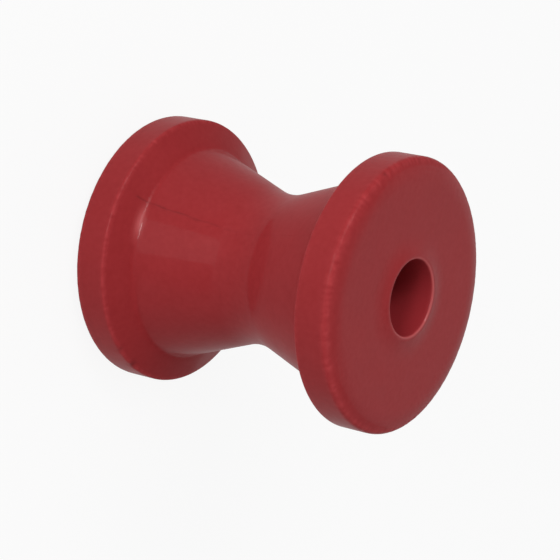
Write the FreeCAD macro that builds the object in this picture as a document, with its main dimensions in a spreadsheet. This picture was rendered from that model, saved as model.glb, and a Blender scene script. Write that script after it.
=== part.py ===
import FreeCAD, Part
import math
import os
import Sketcher
from FreeCAD import Vector

# Boat trailer roller, moulded in one piece: a waisted barrel between two flanges, with a bore for its pin.
# It stands on one end. Z is its axis, and the origin is on that axis at the lower hub face.
# The body is drawn about its own middle plane, then lifted by half its length.

os.makedirs("parts", exist_ok=True)
doc = FreeCAD.newDocument("boat_trailer_roller")

# Driving dimensions, in millimetres
SIZES = [
    ("overall_length", 76.2, "over both hub faces"),
    ("bore_diameter", 18.2, "running hole for the bracket's pin"),
    ("bore_lead_in", 0.4, "chamfer at each mouth of the bore"),
    ("hub_ring_width", 1.0, "from the bore's wall to the edge of the narrow hub face"),
    ("hub_cove_width", 5.5, "hollow slope from the hub face down to the end face"),
    ("hub_height", 0.8, "hub face above the flat of the end face"),
    ("shoulder_width", 5.8, "crowned shoulder between the flat and the rim"),
    ("shoulder_drop", 1.4, "flat of the end face above the rim's outer corner"),
    ("rim_diameter", 65.6, "largest diameter, of both flanges"),
    ("rim_width", 8.0, "straight rim, corner to corner"),
    ("rim_edge_break", 0.6, "chamfer that takes the sharpness off both corners of a rim"),
    ("flange_height", 6.8, "rim above the root, where the flange leaves the barrel"),
    ("cheek_lean", 3.8, "how far the flange's cheek leans towards the middle"),
    ("root_fillet", 1.4, "fillet between cheek and barrel"),
    ("waist_depth", 7.5, "waist below the root"),
    ("waist_radius", 17.0, "arc along the barrel that joins its two tapers"),
]
sheet = doc.addObject("Spreadsheet::Sheet", "Sizes")
for row, (alias, value, note) in enumerate(SIZES, start=1):
    sheet.set(f"A{row}", note)
    sheet.set(f"B{row}", str(value))
    sheet.setAlias(f"B{row}", alias)
doc.recompute()

# Corners of the half section: radius from the axis, and height above the middle plane
BORE_WALL = "Sizes.bore_diameter / 2"
HUB_EDGE = f"{BORE_WALL} + Sizes.hub_ring_width"
RIM = "Sizes.rim_diameter / 2"
ROOT = f"{RIM} - Sizes.flange_height"
TOP = "Sizes.overall_length / 2"
FLAT = f"{TOP} - Sizes.hub_height"
RIM_TOP = f"{FLAT} - Sizes.shoulder_drop"
RIM_FOOT = f"{RIM_TOP} - Sizes.rim_width"
CORNERS = {
    "bore_middle": (BORE_WALL, "0"),
    "bore_mouth": (BORE_WALL, TOP),
    "hub_edge": (HUB_EDGE, TOP),
    "hub_foot": (f"{HUB_EDGE} + Sizes.hub_cove_width", FLAT),
    "flat_edge": (f"{RIM} - Sizes.shoulder_width", FLAT),
    "rim_top": (RIM, RIM_TOP),
    "rim_foot": (RIM, RIM_FOOT),
    "root": (ROOT, f"{RIM_FOOT} - Sizes.cheek_lean"),
    "waist": (f"{ROOT} - Sizes.waist_depth", "0"),
}

# The sketcher's numbers for a curve's points, and for the level axis, which lies in the middle plane
START, END, CENTRE = 1, 2, 3
LEVEL_AXIS = -1


def size(expression):
    """What an expression in the named sizes comes to."""
    return float(sheet.evalExpression(expression))


def corner(name):
    """A corner of the section, as a point of the sketch."""
    radius, height = CORNERS[name]
    return Vector(size(radius), size(height), 0)


def level_arc(level_point, other_point):
    """An arc that runs level at one point and passes through the other."""
    across = other_point.x - level_point.x
    along = other_point.y - level_point.y
    reach = (across**2 + along**2) / (2 * along)
    centre = level_point + Vector(0, reach, 0)
    angles = [math.atan2(point.y - centre.y, point.x - centre.x) for point in (level_point, other_point)]
    return Part.ArcOfCircle(Part.Circle(centre, Vector(0, 0, 1), abs(reach)), min(angles), max(angles))


def waist_arc():
    """The arc round the waist, from where the root's taper runs into it."""
    radius = size("Sizes.waist_radius")
    centre = corner("waist") + Vector(radius, 0, 0)
    to_root = corner("root") - centre
    meeting = math.atan2(to_root.y, to_root.x) + math.acos(radius / to_root.Length)
    return Part.ArcOfCircle(Part.Circle(centre, Vector(0, 0, 1), radius), meeting, math.pi)


def section_sides():
    """The half section's sides in order from the bore's middle: each curve, and its first and last end.

    The sketcher keeps every arc anticlockwise, so the shoulder is drawn from its rim end.
    """

    def line(first, last):
        return Part.LineSegment(first, last), START, END

    waist = waist_arc()
    return {
        "bore_wall": line(corner("bore_middle"), corner("bore_mouth")),
        "hub_face": line(corner("bore_mouth"), corner("hub_edge")),
        "hub_cove": (level_arc(corner("hub_foot"), corner("hub_edge")), START, END),
        "end_flat": line(corner("hub_foot"), corner("flat_edge")),
        "shoulder": (level_arc(corner("flat_edge"), corner("rim_top")), END, START),
        "rim": line(corner("rim_top"), corner("rim_foot")),
        "cheek": line(corner("rim_foot"), corner("root")),
        "taper": line(corner("root"), waist.StartPoint),
        "waist": (waist, START, END),
        "middle": line(corner("waist"), corner("bore_middle")),
    }


def body_plane(body, role):
    """One of the body's own origin planes."""
    return next(plane for plane in body.Origin.OriginFeatures if plane.Role == role)


def draw_half_section(body):
    """Half of the roller's section, from the middle plane to the top hub face, bound to the named sizes."""
    sketch = body.newObject("Sketcher::SketchObject", "HalfSection")
    sketch.AttachmentSupport = [(body_plane(body, "XZ_Plane"), "")]
    sketch.MapMode = "FlatFace"
    sides = section_sides()
    number = {name: sketch.addGeometry(curve, False) for name, (curve, _, _) in sides.items()}
    first = {name: (number[name], end) for name, (_, end, _) in sides.items()}
    last = {name: (number[name], end) for name, (_, _, end) in sides.items()}

    def hold(kind, *where):
        return sketch.addConstraint(Sketcher.Constraint(kind, *where))

    def measure(kind, where, name, expression):
        index = hold(kind, *where, size(expression))
        sketch.renameConstraint(index, name)
        sketch.setExpression(f"Constraints.{name}", expression)

    # Each side starts where the last one ends, and the arcs run smoothly into their straight neighbours
    order = list(sides)
    smooth = [("hub_cove", "end_flat"), ("end_flat", "shoulder"), ("taper", "waist")]
    for pair in zip(order, order[1:] + order[:1]):
        hold("Tangent" if pair in smooth else "Coincident", *last[pair[0]], *first[pair[1]])
    for upright in ("bore_wall", "rim"):
        hold("Vertical", number[upright])
    for level in ("hub_face", "end_flat", "middle"):
        hold("Horizontal", number[level])
    hold("PointOnObject", *last["middle"], LEVEL_AXIS)
    hold("PointOnObject", number["waist"], CENTRE, LEVEL_AXIS)

    # A radius or a height that a level or upright side already passes on isn't measured twice
    ends = {
        "bore_mouth": last["bore_wall"],
        "hub_edge": last["hub_face"],
        "hub_foot": first["end_flat"],
        "flat_edge": last["end_flat"],
        "rim_top": first["rim"],
        "rim_foot": last["rim"],
        "root": first["taper"],
        "waist": last["waist"],
    }
    for name in ("bore_mouth", "hub_edge", "hub_foot", "flat_edge", "rim_top", "root", "waist"):
        measure("DistanceX", (LEVEL_AXIS, START, *ends[name]), f"{name}_radius", CORNERS[name][0])
    for name in ("bore_mouth", "hub_foot", "rim_top", "rim_foot", "root"):
        measure("DistanceY", (LEVEL_AXIS, START, *ends[name]), f"{name}_height", CORNERS[name][1])
    measure("Radius", (number["waist"],), "waist_arc", "Sizes.waist_radius")
    return sketch


def edges_round(shape, name):
    """Names of the edges that go round the roller at a corner, one at each end."""
    place = corner(name)
    found = []
    for count, edge in enumerate(shape.Edges, start=1):
        if not isinstance(edge.Curve, Part.Circle):
            continue
        here = Vector(edge.Curve.Radius, abs(edge.Curve.Center.z), 0)
        if here.distanceToPoint(place) < 1e-4 * place.Length:
            found.append(f"Edge{count}")
    return found


def make_roller():
    """The whole moulding: one half is turned and mirrored, then its corners are eased."""
    body = doc.addObject("PartDesign::Body", "Roller")
    body.Label = "roller"
    sketch = draw_half_section(body)
    turned = body.newObject("PartDesign::Revolution", "HalfTurned")
    turned.Profile = sketch
    turned.ReferenceAxis = (sketch, ["V_Axis"])
    turned.Angle = 360
    both = body.newObject("PartDesign::Mirrored", "BothHalves")
    both.Originals = [turned]
    both.MirrorPlane = (body_plane(body, "XY_Plane"), [""])
    body.Tip = both
    doc.recompute()

    eased = [
        ("BoreLeadIns", "PartDesign::Chamfer", "Size", "Sizes.bore_lead_in", "bore_mouth"),
        ("RimOuterBreaks", "PartDesign::Chamfer", "Size", "Sizes.rim_edge_break", "rim_top"),
        ("RimInnerBreaks", "PartDesign::Chamfer", "Size", "Sizes.rim_edge_break", "rim_foot"),
        ("RootFillets", "PartDesign::Fillet", "Radius", "Sizes.root_fillet", "root"),
    ]
    previous = both
    for feature_name, kind, measured_by, expression, place in eased:
        feature = body.newObject(kind, feature_name)
        feature.Base = (previous, edges_round(previous.Shape, place))
        feature.setExpression(measured_by, expression)
        body.Tip = feature
        doc.recompute()
        previous = feature
    body.setExpression("Placement.Base.z", TOP)
    return body, sketch


roller, half_section = make_roller()
doc.recompute()

# Every feature has to have built, the section has to be fully held, and the piece has to be one sound solid
for item in doc.Objects:
    broken = {"Invalid", "Error"} & set(item.State)
    if broken:
        raise RuntimeError(f"{item.Name} did not build: {sorted(broken)}")
if not half_section.FullyConstrained:
    raise RuntimeError("the half section is not fully held by its sizes")
if roller.Shape.isNull() or not roller.Shape.isValid() or len(roller.Shape.Solids) != 1:
    raise RuntimeError("the roller is not one sound solid")

box = roller.Shape.optimalBoundingBox(False, False)
print(f"{roller.Label}: {box.XLength:.2f} x {box.YLength:.2f} x {box.ZLength:.2f} mm,"
      f" lowest point {box.ZMin:.3f}, volume {roller.Shape.Volume / 1000:.1f} cm3")
roller.Shape.exportStep(f"parts/{roller.Label}.step")
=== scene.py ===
# %% [markdown]
# # A boat trailer roller
#
# This roller is one moulding of soft red polyurethane: a waisted barrel between two flanges, with a
# plain bore for the pin of the trailer's bracket. The boat's keel rides in the waist. The packed
# model comes first, because the moulding takes its place.

# %% Load the imported roller
import math
import bpy
import numpy as np
from mathutils import Matrix, Quaternion, Vector


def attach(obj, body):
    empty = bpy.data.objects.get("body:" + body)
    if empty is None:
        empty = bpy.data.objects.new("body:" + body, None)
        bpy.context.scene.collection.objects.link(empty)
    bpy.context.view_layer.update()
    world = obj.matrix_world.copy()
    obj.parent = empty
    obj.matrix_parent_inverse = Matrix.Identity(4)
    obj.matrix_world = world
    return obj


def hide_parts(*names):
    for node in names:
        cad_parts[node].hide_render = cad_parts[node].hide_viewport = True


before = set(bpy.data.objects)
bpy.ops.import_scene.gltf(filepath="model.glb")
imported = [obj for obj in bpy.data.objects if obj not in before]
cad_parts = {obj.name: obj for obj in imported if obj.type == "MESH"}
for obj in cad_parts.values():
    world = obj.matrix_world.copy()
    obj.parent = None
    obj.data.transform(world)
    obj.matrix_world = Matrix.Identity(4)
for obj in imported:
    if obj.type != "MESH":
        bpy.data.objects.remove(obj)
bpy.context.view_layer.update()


# %% [markdown]
# ## The section
#
# The roller is the same all the way round, so its whole form lies in half a section: a closed
# polygon of radius and height. It could be traced as a long list of points, but that would explain
# nothing. Writing it as corners, each with the round that the mould gave it, keeps every radius
# where it can be read and changed. The bottom half is the top half mirrored.

# %% The section's corners and their rounds
MM = 0.001
length = 76.2 * MM
middle = length / 2
bore_radius = 9.1 * MM
rim_radius = 32.8 * MM

top_corners = [
    # name, radius from the axis, height above the middle plane, round in the corner
    ("bore mouth", bore_radius, middle, 0.45 * MM),
    ("hub edge", 10.1 * MM, middle, 1.8 * MM),
    ("hub cove", 12.8 * MM, middle - 0.8 * MM, 17.0 * MM),
    ("shoulder", 29.6 * MM, middle - 0.8 * MM, 12.3 * MM),
    ("rim top", rim_radius, middle - 2.2 * MM, 1.3 * MM),
    ("rim foot", rim_radius, middle - 10.2 * MM, 0.8 * MM),
    ("root", rim_radius - 6.8 * MM, middle - 14.0 * MM, 1.7 * MM),
]
waist_corner = ("waist", 17.46 * MM, 0.0, 17.0 * MM)
bottom_corners = [
    (name, radius, -height, ease) for name, radius, height, ease in reversed(top_corners)]
section_corners = top_corners + [waist_corner] + bottom_corners
print(len(section_corners), "corners in the section")

# %% [markdown]
# ## Rounding the corners
#
# A moulding has no sharp corner, and the light along its soft ones tells more about the plastic
# than any colour does. A Bevel modifier could round them on the finished mesh. Here each arc is
# worked out in the flat section instead, because every corner has a round of its own, and the steps
# along the arcs can then be as fine as the straights between them are coarse. Two helpers come
# first, one for directions and one for arcs.

# %% Directions and arcs
def unit(vectors):
    """The same directions, with every vector 1 long."""
    return vectors / np.linalg.norm(vectors, axis=1)[:, None]


def arc(centre, start, turn, pieces):
    """Points on an arc round the centre, which begins at the centre plus start."""
    points = []
    for angle in np.linspace(0, turn, pieces + 1):
        c, s = math.cos(angle), math.sin(angle)
        points.append(centre + [c * start[0] - s * start[1], s * start[0] + c * start[1]])
    return points


quarter_turn = arc(np.zeros(2), (1.0, 0.0), math.pi / 2, pieces=3)
print("a quarter turn from (1, 0) ends at", quarter_turn[-1].round(3))

# %% [markdown]
# ## Walking round the section
#
# An arc touches both straights of its corner at the same distance from the corner, here called the
# set-back. So the way round the section has an arc in each corner, from set-back to set-back, and
# then even steps along the straight to the next corner.

# %% Walk round the section
def eased_section(corners, straight_step, turn_step, fewest_pieces=3):
    """Points round the closed section, in order, each corner rounded by its own ease."""
    place = np.array([corner[1:3] for corner in corners])
    ease = np.array([corner[3] for corner in corners])
    back = unit(np.roll(place, 1, axis=0) - place)
    ahead = unit(np.roll(place, -1, axis=0) - place)
    toward = unit(back + ahead)
    half_angle = np.arccos(np.clip((back * ahead).sum(axis=1), -1, 1)) / 2
    set_back = ease / np.tan(half_angle)
    centre = place + toward * (ease / np.sin(half_angle))[:, None]
    points = []
    for index in range(len(corners)):
        start = place[index] + back[index] * set_back[index] - centre[index]
        turn = math.pi - 2 * half_angle[index]
        # the arc bulges towards its corner, which may lie on either side of the start
        if start[0] * toward[index][1] - start[1] * toward[index][0] > 0:
            turn = -turn
        by_turn = round(abs(turn) / turn_step)
        by_length = round(abs(turn) * ease[index] / straight_step)
        points += arc(centre[index], start, turn, max(fewest_pieces, by_turn, by_length))
        following = (index + 1) % len(corners)
        here, there = points[-1], place[following] + back[following] * set_back[following]
        steps = max(1, round(np.linalg.norm(there - here) / straight_step))
        points += [here + (there - here) * step / steps for step in range(1, steps)]
    return np.array(points)


section = eased_section(section_corners, straight_step=0.8 * MM, turn_step=math.radians(10))
near_middle = np.abs(section[:, 1]) < 0.5 * MM
waist_radius = section[near_middle, 0].max()
print(len(section), "points, waist radius", round(1000 * waist_radius, 2), "mm")

# %% [markdown]
# ## Turning the section
#
# Turning the section about the axis gives the moulding. A Screw modifier would turn it as well, but
# with even columns only. Here the columns of points stand closer together beside the two witness
# lines, where the halves of the mould met, so that those thin lines are real shape and not only
# paint. An even column gives way where it would stand less than about a step from such a line.
# Bearings are in degrees round the axis.

# %% Turn the section
witness_bearings = [69.0, 249.0]
beside_witness = [0.0, 0.15, 0.35, 0.6, 0.9]
clear_of_line = 0.95


def bearings_round(every):
    """Bearings in degrees of the columns of points, closer together at the witness lines."""
    even = np.arange(0, 360, every)
    for line in witness_bearings:
        even = even[np.abs(even - line) > clear_of_line * every]
    close = [line + side * away
             for line in witness_bearings for away in beside_witness for side in (-1, 1)]
    return np.unique(np.concatenate([even, close]))


bearing, radius = np.meshgrid(bearings_round(every=1.25), section[:, 0])
height = np.repeat(section[:, 1:], bearing.shape[1], axis=1)
along = unit(np.roll(section, -1, axis=0) - np.roll(section, 1, axis=0))
outward = np.stack([-along[:, 1], along[:, 0]], axis=1)
print(bearing.shape[0], "x", bearing.shape[1], "points on the moulding")

# %% [markdown]
# ## Marks of making: the witness line
#
# The mould's two halves met in a plane through the axis and left a thin witness line down the
# barrel, on two opposite sides. It is a shallow groove that wavers a little. Each mark is a number
# from 0 to 1 at every point, because then the shape and the colour can both follow it. Measuring
# from the plane, and not from a bearing, keeps the line equally thin at the waist and at the
# flanges.

# %% The witness line
line_width = 0.26 * MM
waver, waver_length = 0.1 * MM, 1.1 * MM
barrel_half, clear_of_bore = middle - 12.2 * MM, 12 * MM


def bell(away, spread):
    """1 in the middle of a mark, falling smoothly to 0 beside it."""
    return np.exp(-((away / spread) ** 2))


from_line = np.radians(bearing - witness_bearings[0])
from_parting = radius * np.sin(from_line) + waver * np.sin(height / waver_length)
on_barrel = (np.abs(height) < barrel_half) & (radius > clear_of_bore)
witness = bell(from_parting, line_width) * on_barrel
print("points on the witness line:", int((witness > 0.5).sum()))

# %% [markdown]
# ## Dirt in the witness line
#
# Towards one end the line has gathered dirt, in small patches. The dirt is kept apart from the
# line, because the shape follows the line all the way along, while the colour follows the dirt
# alone.

# %% Dirt in the witness line
dirt_begins, full_after, least_dirt = 2 * MM, 20 * MM, 0.1
patch_length, patchiness = 0.7 * MM, 0.25
dirty_end = np.clip((dirt_begins - height) / full_after, least_dirt, 1.0)
patchy = 1 - patchiness + patchiness * np.sin(height / patch_length)
seam_dirt = witness * dirty_end * patchy
print("points in the dirt:", int((seam_dirt > 0.5).sum()))

# %% [markdown]
# ## Rings, sides and uneven wear
#
# Use has marked the roller in rings, along its corners and in its roots, and some rings carry
# painted light as well. Both ends carry the same rings, so one helper measures how far each point
# lies from a ring, whichever end it belongs to.
# Two more make a mark stronger on one side, and uneven on its way round. A texture could do this
# too, but a ring sits exactly on its corner only if it is measured from the corner.

# %% Rings, sides and uneven wear
def ring(at_radius, at_height, spread):
    """1 on a ring round the axis, the same at both ends of the roller, falling to 0 beside it."""
    return bell(np.hypot(radius - at_radius, np.abs(height) - at_height), spread)


def towards_bearing(degrees):
    """1 on the side of the roller at that bearing, falling to 0 on the side opposite."""
    return 0.5 + 0.5 * np.cos(np.radians(bearing - degrees))


def uneven_round(waves, seed):
    """A smooth random course round the roller, about -1 to 1, the same at every height."""
    phases = np.random.default_rng(seed).uniform(0, 2 * math.pi, len(waves))
    courses = (np.sin(count * np.radians(bearing) + phase) for count, phase in zip(waves, phases))
    return sum(courses) / math.sqrt(len(waves))


print("rings, sides and uneven courses can be measured at", bearing.size, "points")

# %% [markdown]
# ## Marks of use and painted light: paler corners
#
# The two corners of each rim are paler than the rest, unevenly, and more on one side of the roller
# than on the other. The paleness is partly wear and partly painted light, brightest on the side
# where light falls. The corner at the rim's foot, towards the barrel, is a little less pale.

# %% Paler corners: wear and painted light
rim_tops = ring(at_radius=32.1 * MM, at_height=35.9 * MM, spread=1.0 * MM)
rim_feet = ring(at_radius=32.6 * MM, at_height=27.8 * MM, spread=0.5 * MM)
foot_share = 0.8
everywhere, uneven, one_sided, most_wear = 0.3, 0.4, 0.75, 1.4
waves_in_a_turn = range(31, 150, 9)
# the one-sided share is painted light on the side where light falls, laid over the real wear
rubbed_and_painted_light_side = towards_bearing(320)
wear_and_painted_light = everywhere + uneven * uneven_round(waves_in_a_turn, seed=3) + one_sided * rubbed_and_painted_light_side
wear_and_painted_light = np.clip(wear_and_painted_light, 0, most_wear)
rubbed_corner_and_painted_light = (rim_tops + foot_share * rim_feet) * wear_and_painted_light
print("points in the rubbed corners:", int((rubbed_corner_and_painted_light > 0.5).sum()))

# %% [markdown]
# ## Marks of use: dulled corners
#
# The gloss of the corners is worn as well. At the rims' feet that is where they are rubbed, but at
# their tops it is mostly on another side, where the red is still deep. So it is a mark of its own,
# which the gloss will follow and the colour won't.

# %% Dulled corners
dulled_tops = ring(at_radius=32.5 * MM, at_height=35.7 * MM, spread=0.9 * MM)
dulled_side = towards_bearing(220)
dull_corner = dulled_tops * dulled_side**2 + foot_share * rim_feet
print("points in the dulled corners:", int((dull_corner > 0.5).sum()))

# %% [markdown]
# ## The lips of the bore: gloss and a painted highlight
#
# The lips of the bore are shinier on one side, and a paler red there is a painted highlight: the
# thin bright line along them. It is the same kind of ring, narrower, and stronger towards that side.

# %% Glossy lips with a painted highlight
highlight_side = towards_bearing(80)
# the paler red on this side is a painted highlight
lip_gloss_and_painted_highlight = ring(at_radius=9.35 * MM, at_height=38.0 * MM, spread=0.3 * MM) * highlight_side
print("points in the rubbed lips:", int((lip_gloss_and_painted_highlight > 0.5).sum()))

# %% [markdown]
# ## The roots of the flanges
#
# Dirt settles in the root of a flange and dulls it. One stretch of the lower root is clean and
# glossy instead, so the light gathers in it, and its paler red is a painted highlight. Both are rings
# like the rubbed corners, so they are measured in the same way.

# %% The dull roots and their one bright stretch
root_ring = ring(at_radius=26.4 * MM, at_height=24.3 * MM, spread=0.9 * MM)
bright_bearing, bright_spread = 260, 8
lower_end = height < 0
# the stretch is glossier, and its paler red is a painted highlight
root_gloss_and_painted_highlight = root_ring * bell(bearing - bright_bearing, bright_spread) * lower_end
print("points in the bright stretch:", int((root_gloss_and_painted_highlight > 0.5).sum()))

# %% [markdown]
# ## Marks of use: nicks
#
# The rims carry a few nicks from the trailer's bracket and the road. A nick is a soft pit that the
# shape follows, and the deep ones are darker. They could be cut with a Boolean modifier, but the
# mesh would then need mending round each cut. Pressing the points in by a bell curve keeps the skin
# whole. The list says where each one sits. The witness line and the rubbed corners are sunk a
# little too, so they are the first to be counted.

# %% Nicks in the rims
nicks = [
    # bearing, radius from the axis, height above the middle, across, depth
    (216.4, 32.4 * MM, 36.0 * MM, 0.7 * MM, 0.28 * MM),
    (260.8, 32.5 * MM, 35.9 * MM, 0.5 * MM, 0.12 * MM),
    (302.3, 32.6 * MM, 35.6 * MM, 0.5 * MM, 0.12 * MM),
    (337.4, 32.4 * MM, -27.8 * MM, 0.9 * MM, 0.35 * MM),
    (325.5, 32.5 * MM, -27.9 * MM, 0.7 * MM, 0.27 * MM),
]
line_depth, rubbed_depth = 0.02 * MM, 0.05 * MM
deep_nick, undarkened_share = 0.3 * MM, 0.4
sunk = line_depth * witness + rubbed_depth * rim_tops * wear_and_painted_light
deep_nick_darkening = np.zeros_like(radius)
for nick_bearing, nick_radius, nick_height, across, depth in nicks:
    aside = radius * np.sin(np.radians(bearing - nick_bearing))
    inward = radius * np.cos(np.radians(bearing - nick_bearing)) - nick_radius
    nick = bell(np.sqrt(aside**2 + inward**2 + (height - nick_height) ** 2), across)
    # the deep nicks are darker
    deep_nick_darkening = np.maximum(deep_nick_darkening, nick * np.clip(depth / deep_nick - undarkened_share, 0, 1))
    sunk += depth * nick
print("surface sunk by up to", round(1000 * sunk.max(), 2), "mm")

# %% [markdown]
# ## The mesh
#
# The points make one closed skin, joined round the section and round the axis, so the bore is open
# and no face is left over. Shading it smooth is right because every corner has its own round. Where
# a mark sinks the surface, its points move straight inwards, against the way the surface faces. The
# whole moulding is raised by half its length, so that it stands on the floor.

# %% Join the points
def closed_skin(name, places):
    """A mesh over a grid of points that closes on itself both ways."""
    rows, columns = places.shape[:2]
    index = np.arange(rows * columns).reshape(rows, columns)
    below, beside = np.roll(index, -1, axis=0), np.roll(index, -1, axis=1)
    across_from = np.roll(below, -1, axis=1)
    faces = np.stack([index, below, across_from, beside], axis=-1).reshape(-1, 4)
    mesh = bpy.data.meshes.new(name)
    mesh.from_pydata(places.reshape(-1, 3).tolist(), [], faces.tolist())
    mesh.shade_smooth()
    piece = bpy.data.objects.new(name, mesh)
    bpy.context.scene.collection.objects.link(piece)
    return piece


moved_radius = radius - sunk * outward[:, :1]
moved_height = height - sunk * outward[:, 1:] + middle
moulding = closed_skin("roller_moulding", np.stack([
    moved_radius * np.cos(np.radians(bearing)),
    moved_radius * np.sin(np.radians(bearing)),
    moved_height,
], axis=-1))
print(len(moulding.data.polygons), "faces on the moulding")

# %% [markdown]
# ## Keeping the marks
#
# The finish has to know where the dirt, the rubbed places, the painted light and the bore are.
# Painted images would do, but the numbers are already there at every point, so they stay on the mesh
# as attributes, which the finish reads later.

# %% Keep the marks on the mesh
bore_edge = 0.3 * MM
in_bore = np.clip((bore_radius + bore_edge - radius) / bore_edge, 0, 1)
marks = {
    "seam_dirt": seam_dirt,
    "rubbed_corner_and_painted_light": rubbed_corner_and_painted_light,
    "dull_corner": dull_corner,
    "lip_gloss_and_painted_highlight": lip_gloss_and_painted_highlight,
    "root_ring": root_ring,
    "root_gloss_and_painted_highlight": root_gloss_and_painted_highlight,
    "deep_nick_darkening": deep_nick_darkening,
    "in_bore": in_bore,
}
for name, mark in marks.items():
    attribute = moulding.data.attributes.new(name, "FLOAT", "POINT")
    attribute.data.foreach_set("value", np.ascontiguousarray(mark, dtype=np.float32).ravel())
print("marks on the mesh:", ", ".join(marks))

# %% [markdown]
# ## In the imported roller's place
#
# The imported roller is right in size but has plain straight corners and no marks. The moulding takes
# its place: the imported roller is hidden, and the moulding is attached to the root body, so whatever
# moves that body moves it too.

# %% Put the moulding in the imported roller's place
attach(moulding, "root")
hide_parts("roller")
print("the moulding stands in for the packed roller")

# %% [markdown]
# ## Writing shader maths
#
# A finish is worked out in nodes. Laying them out one by one hides the sum that they stand for.
# This small class wraps a socket, so that a sum of masks can be written as a sum, and one method
# adds every other kind of node.

# %% A socket that can be reckoned with
class Wire:
    """The output of a node. Sums, differences and products of wires add their own Math nodes."""

    def __init__(self, socket):
        self.socket = socket

    @classmethod
    def from_node(cls, tree, kind, settings=None, inputs=None, output=0):
        """Add a node of any kind: first its settings, then the values or wires of its sockets."""
        node = tree.nodes.new(kind)
        for name, setting in (settings or {}).items():
            setattr(node, name, setting)
        for name, given in (inputs or {}).items():
            if isinstance(given, cls):
                tree.links.new(given.socket, node.inputs[name])
            else:
                node.inputs[name].default_value = given
        return cls(node.outputs[output]) if node.outputs else None

    def reckon(self, operation, first, second):
        """One Math node on two wires, or on a wire and a number."""
        own_tree, inputs = self.socket.id_data, {0: first, 1: second}
        return Wire.from_node(own_tree, "ShaderNodeMath", {"operation": operation}, inputs)

    def __add__(self, other):
        return self.reckon("ADD", self, other)

    def __sub__(self, other):
        return self.reckon("SUBTRACT", self, other)

    def __rsub__(self, other):
        return self.reckon("SUBTRACT", other, self)

    def __mul__(self, other):
        return self.reckon("MULTIPLY", self, other)

    __radd__ = __add__
    __rmul__ = __mul__


print("a wire can be added, taken away and multiplied")

# %% [markdown]
# ## Helpers for the finish
#
# Three things come up again and again in this finish: a fine unevenness, a mark that the mesh
# carries, and a blend of two colours. The unevenness is noise in the object's own space, so it
# doesn't slide or stretch, and its size is given in metres, so it can be judged against the roller
# itself.

# %% Noise, marks and blends
red = bpy.data.materials.new("red_polyurethane_moulded")
red.use_nodes = True
red_tree = red.node_tree
red_tree.nodes.clear()


def speckle(size, detail=2.0):
    """Noise whose clouds are about this many metres across, from 0 to 1."""
    place = Wire.from_node(red_tree, "ShaderNodeTexCoord", output="Object")
    inputs = {"Vector": place, "Scale": 1 / size, "Detail": detail}
    return Wire.from_node(red_tree, "ShaderNodeTexNoise", inputs=inputs)


def mark_on_mesh(name):
    """One of the marks that the mesh carries, from 0 to 1."""
    return Wire.from_node(red_tree, "ShaderNodeAttribute", {"attribute_name": name}, output="Fac")


def blend(share, first, second):
    """A colour that goes from the first to the second as the share goes from 0 to 1."""
    # a Mix node has sockets for each kind of value, and these numbers are those for colours
    inputs = {0: share, 6: first, 7: second}
    return Wire.from_node(red_tree, "ShaderNodeMix", {"data_type": "RGBA"}, inputs, output=2)


print("finish begun:", red.name)

# %% [markdown]
# ## The red
#
# The polyurethane is coloured right through, so its red hardly varies: it is a little deeper in
# some clouds, where the pigment flowed, and in the grain that the mould's wall left. One flat
# colour would look like paint. The reds are meant as the plastic's own colour, without light or
# shade, so that they hold under any lamp.

# %% Deep and clear red
deep_red = (0.262, 0.0175, 0.0203, 1)
clear_red = (0.360, 0.0305, 0.0340, 1)
cloud_size, grain_size = 14 * MM, 1.3 * MM
cloud_share, grain_share = 0.4, 0.6
clouds = speckle(cloud_size)
grain = speckle(grain_size, detail=3.0)
colour = blend(cloud_share * clouds + grain_share * grain, deep_red, clear_red)
print("the red lies between", deep_red[:3], "and", clear_red[:3])

# %% [markdown]
# ## Paler, greyer and darker places
#
# The rubbed corners are paler, partly from wear and partly as painted light. The inside of the bore
# is a little paler and greyer. One side of the bore's lips and the bright stretch of the root carry a
# painted highlight, a paler red. Dirt darkens the witness line, and the deep nicks are darker. Each
# is blended over the one before, and the dark marks come last, because they lie on top. The grain
# breaks up the rubbed corners, because wear takes the high spots first.

# %% Colours of the marks
greyer_bore_red = (0.34, 0.028, 0.034, 1)
rubbed_and_painted_light_red = (0.48, 0.054, 0.060, 1)
painted_highlight_red = (0.52, 0.087, 0.090, 1)
darkened_red = (0.12, 0.014, 0.015, 1)
low_spots, high_spots = 0.2, 1.8
corner_paleness = mark_on_mesh("rubbed_corner_and_painted_light") * (low_spots + (high_spots - low_spots) * grain)
layers = [
    # how strongly it covers, where it lies, its colour
    # the inside of the bore is a little paler and greyer
    (1.0, mark_on_mesh("in_bore"), greyer_bore_red),
    # the corners' paler red is partly wear and partly painted light
    (0.5, corner_paleness, rubbed_and_painted_light_red),
    # painted highlight along one side of the bore's lips
    (1.0, mark_on_mesh("lip_gloss_and_painted_highlight"), painted_highlight_red),
    # painted highlight in the bright stretch of the root
    (0.8, mark_on_mesh("root_gloss_and_painted_highlight"), painted_highlight_red),
    (0.4, mark_on_mesh("seam_dirt"), darkened_red),
    (0.8, mark_on_mesh("deep_nick_darkening"), darkened_red),
]
for strength, mark, mark_colour in layers:
    colour = blend(strength * mark, colour, mark_colour)
print(len(layers), "marks blended over the red")

# %% [markdown]
# ## The skin
#
# Cast polyurethane has two kinds of gloss at once: a faint and broad sheen, which veils the red
# where the light skims the surface, and on top of it a weak but clear reflection from the thin skin
# that lay against the polished mould. One roughness can't give both, so the base is rough and a
# thin coat over it is smooth. The coat is never even: it follows the fine grain and some larger
# patches, half and half. It is weaker along the rims' corners and in the roots, stronger on the
# bore's lips, and full in the bright stretch of the root. The base is a little rougher in some
# clouds than in others.

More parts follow.
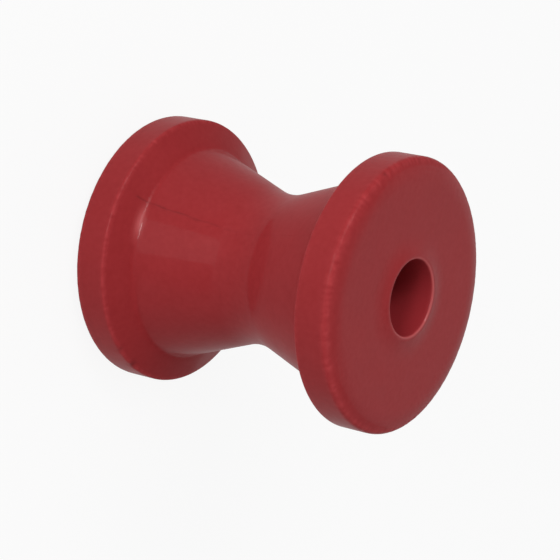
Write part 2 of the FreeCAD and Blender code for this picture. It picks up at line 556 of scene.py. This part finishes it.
# %% How strong the skin is
thinnest, thickest = 0.055, 0.185
corner_loss, root_loss = 0.05, 0.09
lip_gain, bright_gain = 0.5, 0.95
smoothest, roughest = 0.44, 0.56
patch_size = 5 * MM
patches = speckle(patch_size, detail=3.0)
dulled = corner_loss * mark_on_mesh("dull_corner") + root_loss * mark_on_mesh("root_ring")
shining = lip_gain * mark_on_mesh("lip_gloss_and_painted_highlight") + bright_gain * mark_on_mesh("root_gloss_and_painted_highlight")
uneven_skin = 0.5 * grain + 0.5 * patches
skin = thinnest + (thickest - thinnest) * uneven_skin - dulled + shining
soft_sheen = smoothest + (roughest - smoothest) * clouds
print("skin from", thinnest, "to", thickest, "on the plain surface")

# %% [markdown]
# ## Moulded polyurethane
#
# The parts come together in one Principled shader. A bump of a few hundredths of a millimetre
# follows the grain. It is too fine to be worth any geometry, and it breaks the reflections up as
# the real surface does.

# %% The finished material
grain_depth = 0.04 * MM
bump = Wire.from_node(red_tree, "ShaderNodeBump", inputs={
    "Strength": 1.0,
    "Distance": grain_depth,
    "Height": grain,
})
shader = Wire.from_node(red_tree, "ShaderNodeBsdfPrincipled", inputs={
    "Base Color": colour,
    "Roughness": soft_sheen,
    "IOR": 1.5,
    "Specular IOR Level": 0.05,
    "Coat Weight": skin,
    "Coat Roughness": 0.09,
    "Normal": bump,
})
Wire.from_node(red_tree, "ShaderNodeOutputMaterial", inputs={"Surface": shader})
moulding.data.materials.append(red)
print(len(red_tree.nodes), "nodes in the red polyurethane")

# %% [markdown]
# ## The floor
#
# The roller is shown on a plain white ground. A white floor would need so much light to look white
# that the red would burn out. So this floor is a pale grey that takes the roller's shadow and
# throws light back, and only rays that look at it find it nearly white: the camera's own, and those
# that a glossy or a clear surface sends on.

# %% A pale floor
reach = 4.0
floor_corners = [(-reach, -reach, 0), (reach, -reach, 0), (reach, reach, 0), (-reach, reach, 0)]
floor_mesh = bpy.data.meshes.new("floor")
floor_mesh.from_pydata(floor_corners, [], [(0, 1, 2, 3)])
floor = bpy.data.objects.new("floor", floor_mesh)
bpy.context.scene.collection.objects.link(floor)
print("floor", 2 * reach, "m across")

# %% [markdown]
# ## The floor's finish
#
# A Mix Shader chooses between the lit grey and an even white, by the kind of ray that asks. The
# camera's rays find the white, and so do glossy and see-through rays, so that whatever shines shows
# the same ground that the camera sees. The share of white stays below 1, so that a tenth of the lit
# floor, and the shadow on it, still shows.

# %% Pale grey, seen as nearly white
pale_grey, pure_white = (0.8, 0.8, 0.8, 1), (1, 1, 1, 1)
share_of_white = 0.9
pale = bpy.data.materials.new("pale_floor")
pale.use_nodes = True
floor_tree = pale.node_tree
floor_tree.nodes.clear()
from_camera, from_gloss, from_glass = (
    Wire.from_node(floor_tree, "ShaderNodeLightPath", output=ray)
    for ray in ("Is Camera Ray", "Is Glossy Ray", "Is Transmission Ray"))
white_seen = share_of_white * (from_camera + from_gloss + from_glass)
lit = Wire.from_node(floor_tree, "ShaderNodeBsdfDiffuse", inputs={"Color": pale_grey})
white = Wire.from_node(
    floor_tree, "ShaderNodeEmission", inputs={"Color": pure_white, "Strength": 1.0})
ground = Wire.from_node(
    floor_tree, "ShaderNodeMixShader", inputs={0: white_seen, 1: lit, 2: white})
Wire.from_node(floor_tree, "ShaderNodeOutputMaterial", inputs={"Surface": ground})
floor_mesh.materials.append(pale)
print(len(floor_tree.nodes), "nodes in the pale floor")

# %% [markdown]
# ## Where the camera stands
#
# The camera's place comes before the lamps, because the lamps are placed by the picture's own
# directions. In the photograph the roller lies on its side, while here it stands on its end, so the
# camera is rolled by a good quarter turn. Its place, roll and focal length were worked out from the
# outline of both flanges, the waist and the mouth of the bore.

# %% The camera's place, and the picture's directions
camera_place = Vector((0, -0.42317, 0.32436))
camera_aim = Vector((0.00227, 0, 0.03913))
camera_roll = math.radians(102.034)
look = (camera_aim - camera_place).to_track_quat("-Z", "Y") @ Quaternion((0, 0, 1), camera_roll)
picture_right = look @ Vector((1, 0, 0))
picture_up = look @ Vector((0, 1, 0))
towards_camera = look @ Vector((0, 0, 1))
print("picture up points along", [round(part, 2) for part in picture_up])

# %% [markdown]
# ## Soft boxes
#
# The light is soft, as from windows and a white ceiling. A soft box is an even rectangle of light.
# Two angles say where it stands: how far round to the right of the camera, and how far above it,
# both in degrees as the picture shows them. It faces the roller from a metre away, and its width
# lies along the picture's own level. Placed this way, a lamp can be matched with the highlight that
# it makes.

# %% A soft box
def soft_box(name, around, above, width, height, watts):
    """A rectangle of light, a metre from the roller and facing it."""
    swing, rise = math.radians(around), math.radians(above)
    towards = math.cos(rise) * (math.sin(swing) * picture_right + math.cos(swing) * towards_camera)
    towards = (towards + math.sin(rise) * picture_up).normalized()
    level = picture_up.cross(towards).normalized()
    lamp = bpy.data.lights.new(name, "AREA")
    lamp.shape = "RECTANGLE"
    lamp.size, lamp.size_y = width, height
    lamp.energy = watts
    holder = bpy.data.objects.new(name, lamp)
    holder.location = Vector((0, 0, middle)) + towards
    holder.rotation_euler = Matrix((level, towards.cross(level), towards)).transposed().to_euler()
    bpy.context.scene.collection.objects.link(holder)
    print(name, "at", [round(part, 2) for part in holder.location], "m")


# %% [markdown]
# ## Lamps in front
#
# Five boxes stand in front of the roller, on the camera's side. The wide front box and the small
# bright box light the barrel, and the bright box makes the highlight in the root of the lower
# flange as well. The left box is the pale patch with clear edges on the barrel. The upper box, well
# above the camera, lights the top of the barrel and both rims, and the tall low box lifts the rims'
# undersides.

# %% Light the barrel and the rims
soft_box("front_box", around=8, above=12, width=0.80, height=0.30, watts=0.80)
soft_box("bright_box", around=-14, above=12, width=0.20, height=0.28, watts=1.70)
soft_box("left_box", around=-33, above=12, width=0.30, height=0.60, watts=0.90)
soft_box("upper_box", around=30, above=29, width=0.64, height=0.30, watts=3.31)
soft_box("low_box", around=-20, above=-6, width=0.30, height=0.90, watts=0.70)

# %% [markdown]
# ## Lamps beside and behind
#
# The end face is seen at a slant, so its grey sheen is light from the right and from behind. Two
# boxes give it, side by side and almost touching, because a gap between them would show as a dark
# band on the shoulder. The back box is tall for the same reason: its upper edge would show there
# too.

# %% Light the end face
soft_box("side_box", around=80, above=-15, width=0.50, height=0.60, watts=0.34)
soft_box("back_box", around=119, above=-9, width=0.90, height=0.80, watts=1.45)

# %% [markdown]
# ## The room
#
# A pale room gives the light that comes from everywhere. It is a third as bright as white, which
# leaves the lamps something to shape.

# %% The pale room
room_strength = 0.345
room = bpy.data.worlds.new("pale_room")
room.use_nodes = True
background = room.node_tree.nodes["Background"]
background.inputs["Color"].default_value = pure_white
background.inputs["Strength"].default_value = room_strength
bpy.context.scene.world = room
print("room at", room_strength, "of white")

# %% [markdown]
# ## The camera
#
# It stands about half a metre away, with a long lens, so that the near flange is only a little
# larger in the picture than the far one. The view transform is the plain one, which shows colours
# as they are written.

# %% The camera
camera_data = bpy.data.cameras.new("camera")
camera_data.sensor_width = 36.0
camera_data.lens = 136.14
camera_data.clip_start = 0.01
camera = bpy.data.objects.new("camera", camera_data)
camera.location = camera_place
camera.rotation_euler = look.to_euler()
bpy.context.scene.collection.objects.link(camera)
bpy.context.scene.camera = camera
bpy.context.scene.view_settings.view_transform = "Standard"
print("camera", round((camera_aim - camera_place).length, 3), "m from the roller")
